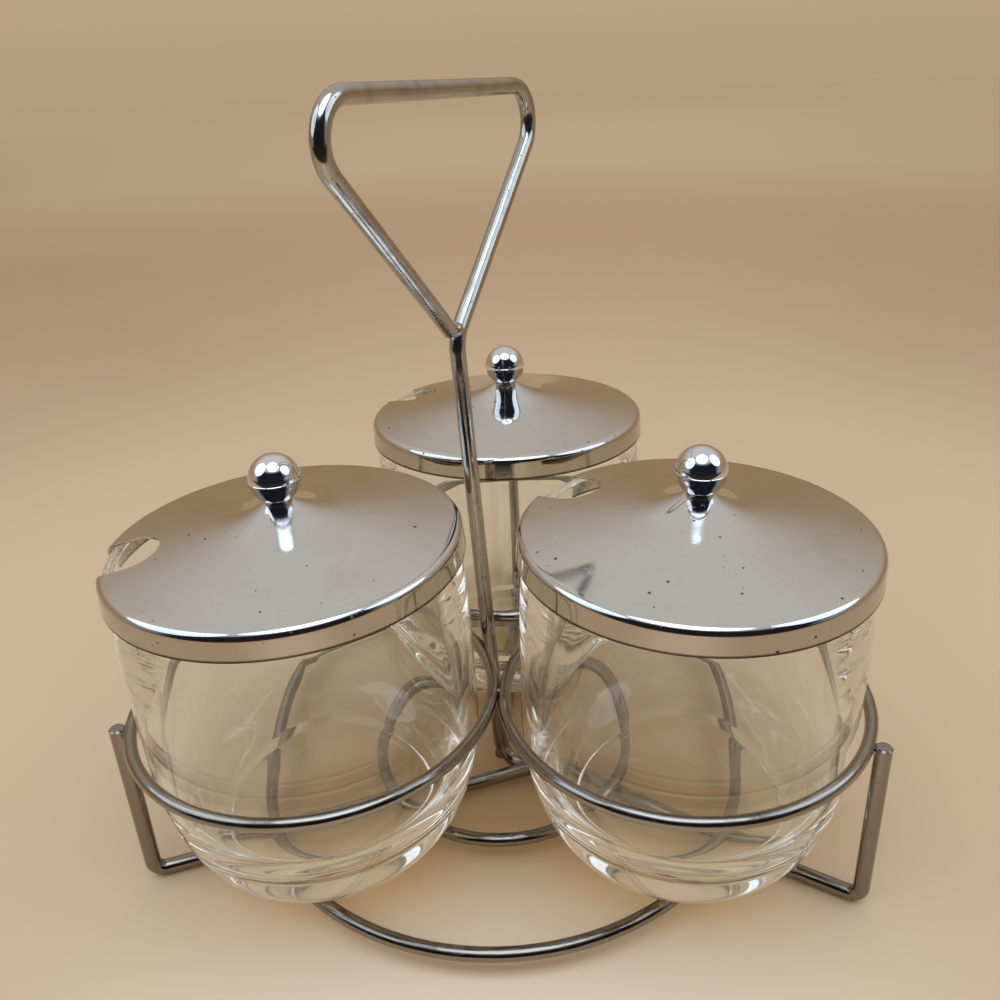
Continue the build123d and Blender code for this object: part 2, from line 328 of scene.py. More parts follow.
screwLook = {
    **knobLook,
    "colour": (0.52, 0.51, 0.49),
    "roughness": 0.28,
    "haze": 0.15,
    "speckAmount": 0.2,
    "lowSpecks": 0.2,
    "rippleDepth": 0.05 * mm,
}
glassLook = {
    "tint": (0.96, 0.985, 0.972),
    "roughness": 0.0,
    "ior": 1.5,
    "waveScale": 38.0,
    "waveDepth": 0.05 * mm,
    "filmScale": 90.0,
    "filmDetail": 5.0,
    "filmRoughness": 0.6,
    "filmRange": (0.55, 0.9),
    "filmHaze": 0.05,
    "shadow": (0.91, 0.835, 0.715),
}


def clearGlass():
    material, tree, shader, place = startMaterial("jarGlass", glassLook["tint"], 0.0, glassLook["roughness"])
    shader.inputs["IOR"].default_value = glassLook["ior"]
    shader.inputs["Transmission Weight"].default_value = 1.0
    ripple = addGroup(tree, surfaceRipple, vector=place, scale=glassLook["waveScale"], fineShare=0.0)
    waves = addNode(tree, "ShaderNodeBump", {"Height": ripple["Height"], "Distance": glassLook["waveDepth"]})
    tree.links.new(waves.outputs[0], shader.inputs["Normal"])
    # A thin uneven film of wear dulls the glass in places
    cloud = noiseNode(tree, place, glassLook["filmScale"], glassLook["filmDetail"], glassLook["filmRoughness"])
    low, high = glassLook["filmRange"]
    film = {"Value": cloud, "From Min": low, "From Max": high, "To Max": glassLook["filmHaze"]}
    tree.links.new(addNode(tree, "ShaderNodeMapRange", film).outputs[0], shader.inputs["Roughness"])
    # Lamps and the light of the room shine through the glass onto what stands behind it
    rays = addNode(tree, "ShaderNodeLightPath").outputs
    lightRay = mathNode(tree, "MAXIMUM", rays["Is Shadow Ray"], rays["Is Diffuse Ray"])
    through = addNode(tree, "ShaderNodeBsdfTransparent", {"Color": (*glassLook["shadow"], 1)}).outputs[0]
    mix = addNode(tree, "ShaderNodeMixShader", {0: lightRay, 1: shader.outputs[0], 2: through})
    tree.links.new(mix.outputs[0], tree.nodes["Material Output"].inputs["Surface"])
    return material


rackChrome = platedMetal("rackChrome", rackLook)
lidSteel = platedMetal("lidSteel", lidLook)
knobChrome = platedMetal("knobChrome", knobLook)
screwSteel = platedMetal("screwSteel", screwLook)
jarGlass = clearGlass()
print("materials made")


# Geometry Nodes: trees that make the wires, the rings and the weld beads
def finishTree(tree, result, mesh, material, sharpAngle=radians(35)):
    # Smooth faces, hard edges past the angle, and one real mesh with its material
    smooth = addNode(tree, "GeometryNodeSetShadeSmooth", {0: mesh})
    angle = addNode(tree, "GeometryNodeInputMeshEdgeAngle").outputs[0]
    hard = addNode(tree, "FunctionNodeCompare", {0: angle, 1: sharpAngle}, operation="GREATER_THAN").outputs[0]
    edges = {0: smooth.outputs[0], 1: hard, 2: False}
    creased = addNode(tree, "GeometryNodeSetShadeSmooth", edges, domain="EDGE")
    real = addNode(tree, "GeometryNodeRealizeInstances", {0: creased.outputs[0]})
    painted = addNode(tree, "GeometryNodeSetMaterial", {0: real.outputs[0], 2: material})
    tree.links.new(painted.outputs[0], result["Geometry"])
    return tree


def namedValue(tree, name):
    return addNode(tree, "GeometryNodeInputNamedAttribute", {"Name": name}, data_type="FLOAT").outputs[0]


def makeRodTree():
    inputs = {
        "Route": ("NodeSocketGeometry", None),
        "Wire Diameter": ("NodeSocketFloat", 4 * mm),
        "Bend Steps": ("NodeSocketInt", 16),
        "Round Steps": ("NodeSocketInt", 40),
        "Material": ("NodeSocketMaterial", None),
    }
    tree, given, result = startGroup("bentRod", "GeometryNodeTree", inputs, {"Geometry": "NodeSocketGeometry"})
    route = addNode(tree, "GeometryNodeMeshToCurve", {0: given["Route"]}).outputs[0]
    fillet = {"Curve": route, "Count": given["Bend Steps"], "Radius": namedValue(tree, "bendRadius")}
    bent = addNode(tree, "GeometryNodeFilletCurve", fillet, mode="POLY").outputs[0]
    radius = mathNode(tree, "MULTIPLY", given["Wire Diameter"], 0.5)
    section = {"Resolution": given["Round Steps"], "Radius": radius}
    profile = addNode(tree, "GeometryNodeCurvePrimitiveCircle", section).outputs[0]
    swept = {"Curve": bent, "Profile Curve": profile, "Scale": namedValue(tree, "girth"), "Fill Caps": True}
    rod = addNode(tree, "GeometryNodeCurveToMesh", swept).outputs[0]
    return finishTree(tree, result, rod, given["Material"])


def makeRingTree():
    inputs = {
        "Ring Radius": ("NodeSocketFloat", 40 * mm),
        "Wire Diameter": ("NodeSocketFloat", 4 * mm),
        "Centre": ("NodeSocketVector", None),
        "Weld Angle": ("NodeSocketFloat", 0.0),
        "Weld Swell": ("NodeSocketFloat", 0.05),
        "Weld Length": ("NodeSocketFloat", 3 * mm),
        "Ring Steps": ("NodeSocketInt", 256),
        "Round Steps": ("NodeSocketInt", 36),
        "Material": ("NodeSocketMaterial", None),
    }
    tree, given, result = startGroup("weldedRing", "GeometryNodeTree", inputs, {"Geometry": "NodeSocketGeometry"})
    circle = {"Resolution": given["Ring Steps"], "Radius": given["Ring Radius"]}
    ring = addNode(tree, "GeometryNodeCurvePrimitiveCircle", circle).outputs[0]
    length = addNode(tree, "GeometryNodeSplineParameter").outputs["Length"]
    around = mathNode(tree, "MULTIPLY", given["Ring Radius"], 2 * pi)
    fromWeld = mathNode(tree, "MINIMUM", length, mathNode(tree, "SUBTRACT", around, length))
    swell = fadeNode(tree, mathNode(tree, "DIVIDE", fromWeld, given["Weld Length"]), 0.0, 1.0, 1.0, 0.0)
    girth = mathNode(tree, "ADD", mathNode(tree, "MULTIPLY", swell, given["Weld Swell"]), 1.0)
    radius = mathNode(tree, "MULTIPLY", given["Wire Diameter"], 0.5)
    section = {"Resolution": given["Round Steps"], "Radius": radius}
    profile = addNode(tree, "GeometryNodeCurvePrimitiveCircle", section).outputs[0]
    swept = addNode(tree, "GeometryNodeCurveToMesh", {"Curve": ring, "Profile Curve": profile, "Scale": girth})
    turn = addNode(tree, "ShaderNodeCombineXYZ", {"Z": given["Weld Angle"]}).outputs[0]
    placed = {"Geometry": swept.outputs[0], "Translation": given["Centre"], "Rotation": turn}
    return finishTree(tree, result, addNode(tree, "GeometryNodeTransform", placed).outputs[0], given["Material"])


def makeBeadTree():
    inputs = {
        "Weld Points": ("NodeSocketGeometry", None),
        "Bead Steps": ("NodeSocketInt", 4),
        "Lump Scale": ("NodeSocketFloat", 900.0),
        "Lump Level": ("NodeSocketFloat", 0.6),
        "Lump Share": ("NodeSocketFloat", 0.3 * mm),
        "Material": ("NodeSocketMaterial", None),
    }
    tree, given, result = startGroup("weldBeads", "GeometryNodeTree", inputs, {"Geometry": "NodeSocketGeometry"})
    ball = addNode(tree, "GeometryNodeMeshIcoSphere", {"Radius": 1.0, "Subdivisions": given["Bead Steps"]}).outputs[0]
    wide = namedValue(tree, "beadRadius")
    high = mathNode(tree, "MULTIPLY", wide, namedValue(tree, "beadHeight"))
    size = addNode(tree, "ShaderNodeCombineXYZ", {"X": wide, "Y": wide, "Z": high}).outputs[0]
    scattered = {"Points": given["Weld Points"], "Instance": ball, "Scale": size}
    beads = addNode(tree, "GeometryNodeInstanceOnPoints", scattered).outputs[0]
    real = addNode(tree, "GeometryNodeRealizeInstances", {0: beads}).outputs[0]
    spot = addNode(tree, "GeometryNodeInputPosition").outputs[0]
    lump = mathNode(tree, "SUBTRACT", noiseNode(tree, spot, given["Lump Scale"]), given["Lump Level"])
    push = mathNode(tree, "MULTIPLY", lump, given["Lump Share"])
    normal = addNode(tree, "GeometryNodeInputNormal").outputs[0]
    offset = addNode(tree, "ShaderNodeVectorMath", {0: normal, "Scale": push}, operation="SCALE").outputs[0]
    lumpy = addNode(tree, "GeometryNodeSetPosition", {"Geometry": real, "Offset": offset}).outputs[0]
    return finishTree(tree, result, lumpy, given["Material"])


bentRod = makeRodTree()
weldedRing = makeRingTree()
weldBeads = makeBeadTree()


def growPiece(name, tree, values, points=(), edges=(), **marks):
    # Runs a tree on a few points with their marks, and keeps what it makes as a plain mesh
    start = bpy.data.meshes.new(name + "Start")
    start.from_pydata([tuple(p) for p in points], edges, [])
    for mark, numbers in marks.items():
        start.attributes.new(mark, "FLOAT", "POINT").data.foreach_set("value", numbers)
    piece = bpy.data.objects.new(name, start)
    bpy.context.scene.collection.objects.link(piece)
    modifier = piece.modifiers.new("nodes", "NODES")
    modifier.node_group = tree
    for socket in tree.interface.items_tree:
        if socket.in_out == "INPUT" and socket.name in values:
            modifier[socket.identifier] = values[socket.name]
    made = piece.evaluated_get(bpy.context.evaluated_depsgraph_get())
    mesh = bpy.data.meshes.new_from_object(made)
    piece.modifiers.clear()
    piece.data = mesh
    mesh.name = name
    return piece


def standFor(piece, body, slotName, *nodes):
    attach(piece, body)
    if nodes:
        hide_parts(*nodes)


# Rings: their size and place are read from the frame
def ringFacts(node):
    low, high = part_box(node)
    wire = high.z - low.z
    return {"centre": (low + high) / 2, "wire": wire, "radius": (high.x - low.x - wire) / 2}


rings = {
    "base_ring": {"weldAngle": radians(118), "swell": 0.05},
    "center_ring": {"weldAngle": radians(80), "swell": 0.06},
    "jar_ring_left": {"weldAngle": radians(20), "swell": 0.07},
    "jar_ring_right": {"weldAngle": radians(187), "swell": 0.08},
    "jar_ring_back": {"weldAngle": radians(273), "swell": 0.09},
}
for node, ring in rings.items():
    facts = ringFacts(node)
    values = {
        "Ring Radius": facts["radius"],
        "Wire Diameter": facts["wire"],
        "Centre": facts["centre"],
        "Weld Angle": ring["weldAngle"],
        "Weld Swell": ring["swell"],
        "Material": rackChrome,
    }
    standFor(growPiece(node + "Wire", weldedRing, values), "rack", "rack_chrome", node)
print("rings made")


def toward(angle, distance, start=(0, 0)):
    return Vector((start[0] + distance * cos(angle), start[1] + distance * sin(angle)))


# Rods: the handle wire with its loop, stem, right leg and right strut, and the two other legs
rods = {
    "wire": 4.3 * mm,
    "strutBend": 3.4 * mm,
    "strutOvershoot": 0.2 * mm,
    "stemFoot": (-2.7 * mm, 1.0 * mm),
    "stemFootBend": 8 * mm,
    "stemTop": Vector((-8.4, -0.7, 143.5)) * mm,
    "stemTopBend": 9 * mm,
    "loopAngle": radians(66.2),
    "loopHalfWidth": 60 * mm,
    "loopNearHeight": 59.6 * mm,
    "loopFarHeight": 58.4 * mm,
    "loopCornerBend": 9 * mm,
    "loopEndSetback": 3.2 * mm,
    "leftLegReach": 11 * mm,
    "backLegEnd": (-2.95 * mm, 1.0 * mm),
    "legEndSetback": 1.2 * mm,
    "endRound": 0.35 * mm,
    "endGirth": 0.82,
}
jarRing = ringFacts("jar_ring_left")
ringHeight = jarRing["centre"].z
strutTop = ringHeight + rods["strutOvershoot"]
strutOffset = jarRing["radius"] + (jarRing["wire"] + rods["wire"]) / 2 - layout["weldSink"]
legSlope = tan(layout["lean"])
footHeight = rods["wire"] / 2 - rods["strutBend"] * legSlope


def jarCentre(side):
    return toward(layout["jarAngles"][side], layout["jarCircle"])


def strutPlace(side, offset=strutOffset):
    return toward(layout["jarAngles"][side] + layout["strutTurns"][side], offset, jarCentre(side))


def onLoop(across, up):
    plan = toward(rods["loopAngle"], across, rods["stemTop"])
    return Vector((*plan, rods["stemTop"].z + up))


def makeRod(name, corners, node):
    # corners: each corner's point and bend radius; both cut ends get a small worn edge
    points = [point for point, bend in corners]
    bends = [bend for point, bend in corners]
    for near, far, place in ((0, 1, 1), (-1, -2, len(points))):
        along = (points[far] - points[near]).normalized()
        points.insert(place, points[near] + along * rods["endRound"])
        bends.insert(place, 0.0)
    girths = [rods["endGirth"]] + [1.0] * (len(points) - 2) + [rods["endGirth"]]
    edges = [(i, i + 1) for i in range(len(points) - 1)]
    values = {"Wire Diameter": rods["wire"], "Material": rackChrome}
    rod = growPiece(name, bentRod, values, points, edges, bendRadius=bends, girth=girths)
    standFor(rod, "rack", "rack_chrome", node)


rightFoot = strutPlace("right")
stemFootPlan = Vector(rods["stemFoot"])
stemFoot = Vector((*stemFootPlan, footHeight + (rightFoot - stemFootPlan).length * legSlope))
nearCorner = onLoop(-rods["loopHalfWidth"], rods["loopNearHeight"])
farCorner = onLoop(rods["loopHalfWidth"], rods["loopFarHeight"])
loopEnd = rods["stemTop"] + (nearCorner - rods["stemTop"]).normalized() * rods["loopEndSetback"]
handleCorners = [
    (loopEnd, 0.0),
    (nearCorner, rods["loopCornerBend"]),
    (farCorner, rods["loopCornerBend"]),
    (rods["stemTop"], rods["stemTopBend"]),
    (stemFoot, rods["stemFootBend"]),
    (Vector((*rightFoot, footHeight)), rods["strutBend"]),
    (Vector((*rightFoot, strutTop)), 0.0),
]
makeRod("handleRod", handleCorners, "handle_wire")
rightLegAngle = atan2(*reversed(rightFoot - stemFootPlan))
legGoals = {
    "left": toward(rightLegAngle, rods["leftLegReach"], stemFootPlan),
    "back": Vector(rods["backLegEnd"]),
}
for side, goal in legGoals.items():
    foot = strutPlace(side)
    run = (goal - foot).length - rods["legEndSetback"]
    innerEnd = foot + (goal - foot).normalized() * run
    legCorners = [
        (Vector((*foot, strutTop)), 0.0),
        (Vector((*foot, footHeight)), rods["strutBend"]),
        (Vector((*innerEnd, footHeight + run * legSlope)), 0.0),
    ]
    makeRod(f"legRod_{side}", legCorners, f"leg_{side}")
print("rods made")

# Weld beads: at the struts, at the loop, where the jar rings touch, and where the base rings cross the legs
beads = {
    "strutRadius": 1.4 * mm,
    "strutDepth": 1.5 * mm,
    "loopRadius": 2.1 * mm,
    "ringRadius": 0.95 * mm,
    "crossingRadius": 1.35 * mm,
    "round": 1.0,
    "tall": 1.2,
    "flat": 0.6,
}
beadSpots = []
for side in sides:
    spot = strutPlace(side, strutOffset - rods["wire"] / 2)
    beadSpots.append(((*spot, strutTop - beads["strutDepth"]), beads["strutRadius"], beads["round"]))
beadSpots.append((onLoop(0, rods["wire"] / 2), beads["loopRadius"], beads["round"]))
for first, second in (("left", "right"), ("right", "back"), ("back", "left")):
    touch = (jarCentre(first) + jarCentre(second)) / 2
    beadSpots.append(((*touch, ringHeight), beads["ringRadius"], beads["tall"]))
for node in ("base_ring", "center_ring"):
    facts = ringFacts(node)
    for side in sides:
        foot = strutPlace(side)
        goal = legGoals.get(side, stemFootPlan)
        along = (goal - foot).normalized()
        toCentre = facts["centre"].xy - foot
        middle = toCentre.dot(along)
        aside = (toCentre - along * middle).length
        run = middle - sqrt(facts["radius"] ** 2 - aside**2)
        legTop = footHeight + run * legSlope + rods["wire"] / 2
        beadSpots.append(((*(foot + along * run), legTop), beads["crossingRadius"], beads["flat"]))
beadPiece = growPiece(
    "weldBeads",
    weldBeads,
    {"Material": rackChrome},
    [spot for spot, radius, height in beadSpots],
    beadRadius=[radius for spot, radius, height in beadSpots],
    beadHeight=[height for spot, radius, height in beadSpots],
)
standFor(beadPiece, "rack", "rack_chrome")
print("weld beads made:", len(beadSpots))


# Turned pieces: an outline of (radius, height) points, from axis to axis, spun round a leaning axis
def arcPoints(centre, radii, start, end, steps):
    turns = [start + (end - start) * i / steps for i in range(steps + 1)]
    return [(centre[0] + radii[0] * cos(t), centre[1] + radii[1] * sin(t)) for t in turns]


def roundedOutline(corners, steps=6):
    # corners: (radius, height, size of the rounding); inner corners of an outline may be rounded too
    outline = []
    for i, (x, y, size) in enumerate(corners):
        if size == 0 or i in (0, len(corners) - 1):
            outline.append((x, y))
            continue
        here = Vector((x, y))
        back = (Vector(corners[i - 1][:2]) - here).normalized()
        ahead = (Vector(corners[i + 1][:2]) - here).normalized()
        half = acos(max(-1, min(1, back.dot(ahead)))) / 2
        centre = here + (back + ahead).normalized() * size / sin(half)
        first = here + back * size / tan(half) - centre
        last = here + ahead * size / tan(half) - centre
        start, end = atan2(first.y, first.x), atan2(last.y, last.x)
        if end - start > pi:
            end -= 2 * pi
        if end - start < -pi:
            end += 2 * pi
        outline += arcPoints(centre, (size, size), start, end, steps)
    return outline


footLevel = (
    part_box("base_ring")[1].z + (ringFacts("base_ring")["radius"] - layout["jarCircle"]) * legSlope + layout["seatGap"]
)


def jarPlace(side):
    # From a jar's own axes, with x outwards and z up its leaning axis, to the frame
    turn = Matrix.Rotation(layout["jarAngles"][side], 4, "Z") @ Matrix.Rotation(layout["lean"], 4, "Y")
    return Matrix.Translation((*jarCentre(side), footLevel)) @ turn


def makeMesh(name, points, faces, place, material, sharpAngle=radians(40)):
    mesh = bpy.data.meshes.new(name)
    mesh.from_pydata([place @ Vector(p) for p in points], [], faces)
    mesh.materials.append(material)
    mesh.set_sharp_from_angle(angle=sharpAngle)
    mesh.validate()
    piece = bpy.data.objects.new(name, mesh)
    bpy.context.scene.collection.objects.link(piece)
    return piece


def turnedPiece(name, outline, steps, place, material, bulge=None):
    # bulge(step, radius, height): how far a point stands out, for a mould seam
    points, faces, rows = [], [], []
    for radius, height in outline:
        if radius == 0:
            rows.append([len(points)] * steps)
            points.append((0, 0, height))
            continue
        rows.append(list(range(len(points), len(points) + steps)))
        for step in range(steps):
            out = radius + (bulge(step, radius, height) if bulge else 0)
            turn = 2 * pi * step / steps
            points.append((out * cos(turn), out * sin(turn), height))
    for low, high in zip(rows, rows[1:]):
        for step in range(steps):
            after = (step + 1) % steps
            corners = [low[step], low[after], high[after], high[step]]
            faces.append(list(dict.fromkeys(corners)))
    return makeMesh(name, points, faces, place, material)


# Glass jars: thick base with a shallow recess, round bowl, straight wall and a narrower rim for the lid
jar = {
    "height": 91.75 * mm,
    "radius": 44.4 * mm,
    "wall": 3.7 * mm,
    "rimRadius": 43.4 * mm,
    "rimHeight": 6.4 * mm,
    "rimLift": 0.5 * mm,  # brings the lip up to the hollow lid
    "taperStart": 62 * mm,
    "floorThickness": 8.5 * mm,
    "innerBowl": 30 * mm,
    "innerFullness": 3.0,
    "bowl": 40 * mm,
    "bowlFlat": 27.9 * mm,
    "footRadius": 31.5 * mm,
    "footHeight": 3.2 * mm,
    "footRound": 6 * mm,
    "recessRadius": 22 * mm,
    "recessDepth": 0.4 * mm,
    "ledgeRound": 1.0 * mm,
    "ledgeReach": 3,
    "seamHeight": 0.06 * mm,
    "steps": 224,
    "recessSteps": 12,
    "edgeSteps": 14,
    "bowlSteps": 40,
    "taperSteps": 16,
    "rimSteps": 16,
    "insideSteps": 48,
}
seamAngles = {"left": radians(290), "right": radians(248), "back": radians(262)}


def jarOutline():
    # Up the outside from the recess in the foot to the rim, and down the inside to the floor
    inner = jar["radius"] - jar["wall"]
    lip = (jar["rimRadius"] - inner) / 2
    lipBase = jar["height"] + jar["rimLift"] - lip
    rimFoot = jar["height"] - jar["rimHeight"]
    recess = []
    for i in range(jar["recessSteps"] + 1):
        share = i / jar["recessSteps"]
        recess.append((jar["recessRadius"] * share, jar["recessDepth"] * (0.5 + 0.5 * cos(pi * share))))
    edgeRadii = (jar["footRound"], jar["footHeight"])
    edgeCentre = (jar["footRadius"] - jar["footRound"], jar["footHeight"])
    edge = arcPoints(edgeCentre, edgeRadii, -pi / 2, 0, jar["edgeSteps"])
    bowlRadii = (jar["radius"] - jar["bowlFlat"], jar["bowl"])
    bowlStart = asin(jar["footHeight"] / jar["bowl"] - 1)
    bowl = arcPoints((jar["bowlFlat"], jar["bowl"]), bowlRadii, bowlStart, 0, jar["bowlSteps"])
    reach = jar["ledgeReach"]
    ledge = roundedOutline([(*edge[-2], 0), (*bowl[0], jar["ledgeRound"]), (*bowl[reach], 0)])
    taper = []
    for i in range(jar["taperSteps"] + 1):
        share = i / jar["taperSteps"]
        height = jar["taperStart"] + (rimFoot - jar["taperStart"]) * share
        taper.append((jar["radius"] - (jar["radius"] - jar["rimRadius"]) * share**2, height))
    rim = arcPoints((inner + lip, lipBase), (lip, lip), 0, pi, jar["rimSteps"])
    inside = []
    power = 2 / jar["innerFullness"]
    for i in range(jar["insideSteps"]):
        turn = pi / 2 * i / jar["insideSteps"]
        drop = jar["innerBowl"] * (1 - sin(turn) ** power)
        inside.append((inner * cos(turn) ** power, jar["floorThickness"] + drop))
    outside = recess + edge[:-1] + ledge[1:] + bowl[reach + 1 :] + taper
    return outside + rim + inside + [(0, jar["floorThickness"])]


def seamBulge(side):
    # Two thin ridges on opposite sides, on the outer face only
    first = round((seamAngles[side] - layout["jarAngles"][side]) / (2 * pi) * jar["steps"]) % jar["steps"]
    seamSteps = (first, (first + jar["steps"] // 2) % jar["steps"])

    def bulge(step, radius, height):
        outside = radius > jar["radius"] - jar["wall"] / 2 or height < jar["floorThickness"]
        return jar["seamHeight"] if step in seamSteps and outside and radius > jar["recessRadius"] else 0

    return bulge


for side in sides:
    body = f"jar_{side}_body"
    glass = turnedPiece(f"glassJar_{side}", jarOutline(), jar["steps"], jarPlace(side), jarGlass, seamBulge(side))
    standFor(glass, body, "jar_glass", f"jar_{side}")
print("jars made")

# Lids: thin sheet, a shallow cone with a rolled shoulder, a short band and a notch for a spoon
lid = {
    "seatGap": 0.3 * mm,
    "sheet": 0.5 * mm,
    "radius": 44.5 * mm,
    "band": 5.85 * mm,
    "flare": 0.4 * mm,
    "shoulderRound": 1.9 * mm,
    "rise": 10.9 * mm,
    "coneFlat": 4.2 * mm,
    "topFlat": 3.4 * mm,
    "kneeRadius": 18 * mm,
    "kneePower": 2.5,
    "startSlope": 0.68,
    "kneeSlope": 0.19,
    "endSlope": 0.15,
    "hole": 2 * mm,
    "notchWidth": 15.3 * mm,
    "notchDepth": 14.8 * mm,
    "notchMouthRound": 2 * mm,
    "edgeRound": 0.12 * mm,
    "steps": 240,
    "innerSteps": 24,
    "innerCrowding": 1.3,
    "tipSteps": 12,
    "outerSteps": 8,
    "shoulderSteps": 10,
    "bandSteps": 6,
}
notchAngles = {"left": radians(194.5), "right": radians(144.5), "back": radians(153.5)}
jarInner = jar["radius"] - jar["wall"]
lipRadius = (jar["rimRadius"] - jarInner) / 2
# The lid sits where a straight cone of the same rise would rest on the jar
lidSlope = atan2(lid["rise"], lid["radius"] - lid["coneFlat"])
lidDrop = (lid["sheet"] + lid["seatGap"] + lipRadius) / cos(lidSlope) - lipRadius
lidEdge = jar["height"] + lidDrop - (lid["radius"] - jarInner - lipRadius) * tan(lidSlope)
lidTop = lidEdge + lid["rise"]
bandBottom = lidEdge - lid["band"]
notchInner = lid["radius"] - lid["notchDepth"]


def notchHalfWidth(x):
    # Half the notch's width at this distance from the lid's axis, along the notch
    half, mouthRound = lid["notchWidth"] / 2, lid["notchMouthRound"]
    slotEnd = notchInner + half
    mouthStart = lid["radius"] + lid["flare"] - mouthRound
    if x < slotEnd:
        return sqrt(max(0, half**2 - (slotEnd - x) ** 2))
    if x < mouthStart:
        return half
    return half + mouthRound - sqrt(max(0, mouthRound**2 - (x - mouthStart) ** 2))


def notchHalfAngle(radius):
    # Half the angle that the notch takes out of the circle of this radius
    low, high = notchInner, radius
    if radius <= notchInner:
        return 0
    for halving in range(40):  # finds where the notch's side crosses the circle
        middle = (low + high) / 2
        if hypot(middle, notchHalfWidth(middle)) < radius:
            low = middle
        else:
            high = middle
    return atan2(notchHalfWidth(low), low)


def coneHeight(radius):
    # Steep beside the knob, and nearly straight from the knee to the shoulder
    start, knee, power = lid["topFlat"], lid["kneeRadius"], lid["kneePower"]
    run = max(0, min(radius, knee) - start)
    share = 1 - (1 - run / (knee - start)) ** power
    steep = (lid["startSlope"] - lid["kneeSlope"]) * (knee - start) / power * share + lid["kneeSlope"] * run
    past = max(0, radius - knee)
    bend = (lid["kneeSlope"] - lid["endSlope"]) / (lid["radius"] - knee) / 2
    return lidTop - steep - lid["kneeSlope"] * past + bend * past**2


def lidOutline():
    # From the screw hole down the hollow cone, over the shoulder and down the band
    inner = []
    for i in range(lid["innerSteps"]):
        share = (i / lid["innerSteps"]) ** lid["innerCrowding"]
        inner.append(lid["topFlat"] + (notchInner - lid["topFlat"]) * share)
    half = lid["notchWidth"] / 2
    turns = [pi / 2 * i / lid["tipSteps"] for i in range(lid["tipSteps"] + 1)]
    tip = [hypot(notchInner + half - half * cos(t), half * sin(t)) for t in turns]
    shoulderZ = coneHeight(lid["radius"])
    leadIn = (lid["radius"] - lid["band"], shoulderZ + lid["band"] * lid["endSlope"], 0)
    corner = (lid["radius"], shoulderZ, lid["shoulderRound"])
    band = (lid["radius"] + lid["flare"], bandBottom)
    shoulder = roundedOutline([leadIn, corner, (*band, 0)], lid["shoulderSteps"])[1:-1]
    outer = [tip[-1] + (shoulder[0][0] - tip[-1]) * i / lid["outerSteps"] for i in range(1, lid["outerSteps"])]
    cone = [(radius, coneHeight(radius)) for radius in inner + tip + outer]
    last, wall = shoulder[-1], []
    for i in range(1, lid["bandSteps"]):
        share = i / lid["bandSteps"]
        wall.append((last[0] + (band[0] - last[0]) * share, last[1] + (band[1] - last[1]) * share))
    return [(lid["hole"], lidTop)] + cone + shoulder + wall + [band]


def makeLid(side):
    # Rings of points, open at the notch; the lowest ones are marked for the painted shade line on the band's edge
    points, faces, rows, edgeMarks = [], [], [], []
    steps = lid["steps"]
    for radius, height in lidOutline():
        halfOpen = notchHalfAngle(radius)
        row = []
        for step in range(steps + 1):
            if step == steps and halfOpen == 0:
                row.append(row[0])
                continue
            turn = notchAngles[side] - layout["jarAngles"][side] + halfOpen + (2 * pi - 2 * halfOpen) * step / steps
            row.append(len(points))
            points.append((radius * cos(turn), radius * sin(turn), height))
            edgeMarks.append(1.0 if height == bandBottom else 0.0)
        rows.append(row)
    for inner, outer in zip(rows, rows[1:]):
        for step in range(steps):
            corners = [inner[step], outer[step], outer[step + 1], inner[step + 1]]
            faces.append(list(dict.fromkeys(corners)))
    cover = makeMesh(f"lidSheet_{side}", points, faces, jarPlace(side), lidSteel, radians(60))
    cover.data.attributes.new("bandEdge", "FLOAT", "POINT").data.foreach_set("value", edgeMarks)
    solid = cover.modifiers.new("sheet", "SOLIDIFY")
    solid.thickness = lid["sheet"]
    solid.offset = -1
    solid.use_even_offset = True
    bevel = cover.modifiers.new("edges", "BEVEL")
    bevel.width = lid["edgeRound"]
    bevel.segments = 2
    bevel.limit_method = "ANGLE"
    bevel.angle_limit = radians(60)
    bevel.harden_normals = True
    standFor(cover, f"lid_{side}_body", "lid_steel", f"lid_{side}")


for side in sides:
    makeLid(side)
print("lids made")

# Knobs: balls of two pressed halves with a fine seam, a small flat foot and a bore for the screw
knob = {
    "radius": 6.35 * mm,
    "foot": 3 * mm,
    "seamWidth": 0.5 * mm,
    "seamHeight": 0.12 * mm,
    "bore": 1.75 * mm,
    "boreTop": 7.6 * mm,
    "seamTopShare": 0.6,
    "steps": 128,
    "lowerSteps": 28,
    "upperSteps": 36,
}


def knobOutline():
    centre = lidTop + sqrt(knob["radius"] ** 2 - knob["foot"] ** 2)
    half = knob["seamWidth"] / 2
    seamTurn = asin(half / knob["radius"])
    footTurn = asin((lidTop - centre) / knob["radius"])
    boreTop = lidTop + knob["boreTop"]
    lower = arcPoints((0, centre), (knob["radius"],) * 2, footTurn, -seamTurn, knob["lowerSteps"])
    upper = arcPoints((0, centre), (knob["radius"],) * 2, seamTurn, pi / 2, knob["upperSteps"])
    proud = knob["radius"] + knob["seamHeight"]
    seam = [(proud, centre - half * knob["seamTopShare"]), (proud, centre + half * knob["seamTopShare"])]
    bore = [(0, boreTop), (knob["bore"], boreTop), (knob["bore"], lidTop)]
    return bore + lower + seam + upper[:-1] + [(0, upper[-1][1])]


for side in sides:
    ball = turnedPiece(f"knobBall_{side}", knobOutline(), knob["steps"], jarPlace(side), knobChrome)
    standFor(ball, f"lid_{side}_body", "knob_chrome", f"knob_{side}")
    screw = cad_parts[f"knob_screw_{side}"]
    screw.data.materials.clear()
    screw.data.materials.append(screwSteel)
print("knobs made")


